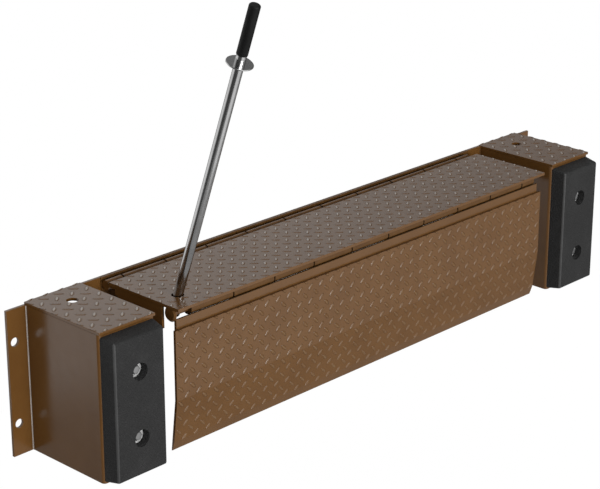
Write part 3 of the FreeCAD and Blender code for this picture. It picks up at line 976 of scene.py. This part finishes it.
def studio_floor():
    """A pale floor a dock's height below the deck, white to the camera but for the shadow."""
    mesh = bpy.data.meshes.new("studio_floor")
    mesh.from_pydata([(x, y, FLOOR_LEVEL - DOCK_HEIGHT) for x, y in FLOOR_CORNERS], [], [(0, 1, 2, 3)])
    floor = bpy.data.objects.new("studio_floor", mesh)
    bpy.context.scene.collection.objects.link(floor)
    material = bpy.data.materials.new("studio_floor")
    material.use_nodes = True
    tree = material.node_tree
    shader = tree.nodes["Principled BSDF"]
    shader.inputs["Base Color"].default_value = (FLOOR_GREY, FLOOR_GREY, FLOOR_GREY, 1)
    shader.inputs["Roughness"].default_value = 0.9
    shader.inputs["Specular IOR Level"].default_value = 0.1
    white = tree.nodes.new("ShaderNodeEmission")
    white.inputs["Strength"].default_value = FLOOR_WHITE
    rays = tree.nodes.new("ShaderNodeLightPath")
    blend = tree.nodes.new("ShaderNodeMixShader")
    share = maths(tree, "MULTIPLY", rays.outputs["Is Camera Ray"], FLOOR_WHITE_SHARE)
    tree.links.new(share, blend.inputs["Fac"])
    tree.links.new(shader.outputs["BSDF"], blend.inputs[1])
    tree.links.new(white.outputs["Emission"], blend.inputs[2])
    tree.links.new(blend.outputs["Shader"], tree.nodes["Material Output"].inputs["Surface"])
    mesh.materials.append(material)


studio_floor()

# Front light
LIGHT_AIM = Vector((0.08, 1, -0.14))
LIGHT_POWER = 2.15
LIGHT_SPREAD = math.radians(25)


def front_light():
    """A broad, far light in front of the dock, a little to its left and above."""
    lamp = bpy.data.lights.new("front_light", "SUN")
    lamp.energy = LIGHT_POWER
    lamp.angle = LIGHT_SPREAD
    holder = bpy.data.objects.new("front_light", lamp)
    bpy.context.scene.collection.objects.link(holder)
    holder.location = (-0.4, -5, 1)
    holder.rotation_mode = "QUATERNION"
    holder.rotation_quaternion = LIGHT_AIM.to_track_quat("-Z", "Y")


front_light()

# Dark boards that gloss sees in the white surroundings: bearing from +X, half width and soft rim in
# degrees, and whether a board stands only below the horizon
DARK_BOARDS = ((0, 20, 58, False), (-170, 33, 53, False), (40, 34, 58, True))
BOARD_LEVEL = 0.08
HORIZON = (-0.1, 0.05)
BRIGHT_CEILING = (0.76, 0.93)
EVEN_LIGHT = 0.36


def board_level(tree, bearing, height):
    """How bright the surroundings are in a direction: dark at the boards, white above them."""
    level = 1.0
    for middle, core, rim, low_only in DARK_BOARDS:
        turn = maths(tree, "SUBTRACT", bearing, math.radians(middle))
        away = maths(tree, "ABSOLUTE", maths(tree, "WRAP", turn, math.pi, -math.pi))
        board = ramp(tree, away, math.radians(core), math.radians(rim), BOARD_LEVEL, 1.0)
        if low_only:
            board = maths(tree, "MAXIMUM", board, ramp(tree, height, *HORIZON))
        level = maths(tree, "MULTIPLY", level, board)
    return maths(tree, "MAXIMUM", level, ramp(tree, height, *BRIGHT_CEILING))


def studio_world():
    """White surroundings for the camera and for gloss, a weaker even light for matt paint."""
    world = bpy.data.worlds.new("studio")
    bpy.context.scene.world = world
    world.use_nodes = True
    tree = world.node_tree
    tree.nodes.clear()
    out = tree.nodes.new("ShaderNodeOutputWorld")
    even = tree.nodes.new("ShaderNodeBackground")
    even.inputs["Color"].default_value = (1, 1, 1, 1)
    even.inputs["Strength"].default_value = EVEN_LIGHT
    white = tree.nodes.new("ShaderNodeBackground")
    white.inputs["Strength"].default_value = 1.0
    rays = tree.nodes.new("ShaderNodeLightPath")
    seen = maths(tree, "MAXIMUM", rays.outputs["Is Camera Ray"], rays.outputs["Is Glossy Ray"])
    seen = maths(tree, "MAXIMUM", seen, rays.outputs["Is Transmission Ray"])
    place = tree.nodes.new("ShaderNodeTexCoord")
    parts = tree.nodes.new("ShaderNodeSeparateXYZ")
    tree.links.new(place.outputs["Generated"], parts.inputs["Vector"])
    bearing = maths(tree, "ARCTAN2", parts.outputs["Y"], parts.outputs["X"])
    level = board_level(tree, bearing, parts.outputs["Z"])
    clear = maths(tree, "MAXIMUM", level, rays.outputs["Is Camera Ray"])
    tree.links.new(clear, white.inputs["Color"])
    blend = tree.nodes.new("ShaderNodeMixShader")
    tree.links.new(seen, blend.inputs["Fac"])
    tree.links.new(even.outputs["Background"], blend.inputs[1])
    tree.links.new(white.outputs["Background"], blend.inputs[2])
    tree.links.new(blend.outputs["Shader"], out.inputs["Surface"])


studio_world()
bpy.context.scene.view_settings.view_transform = "Standard"
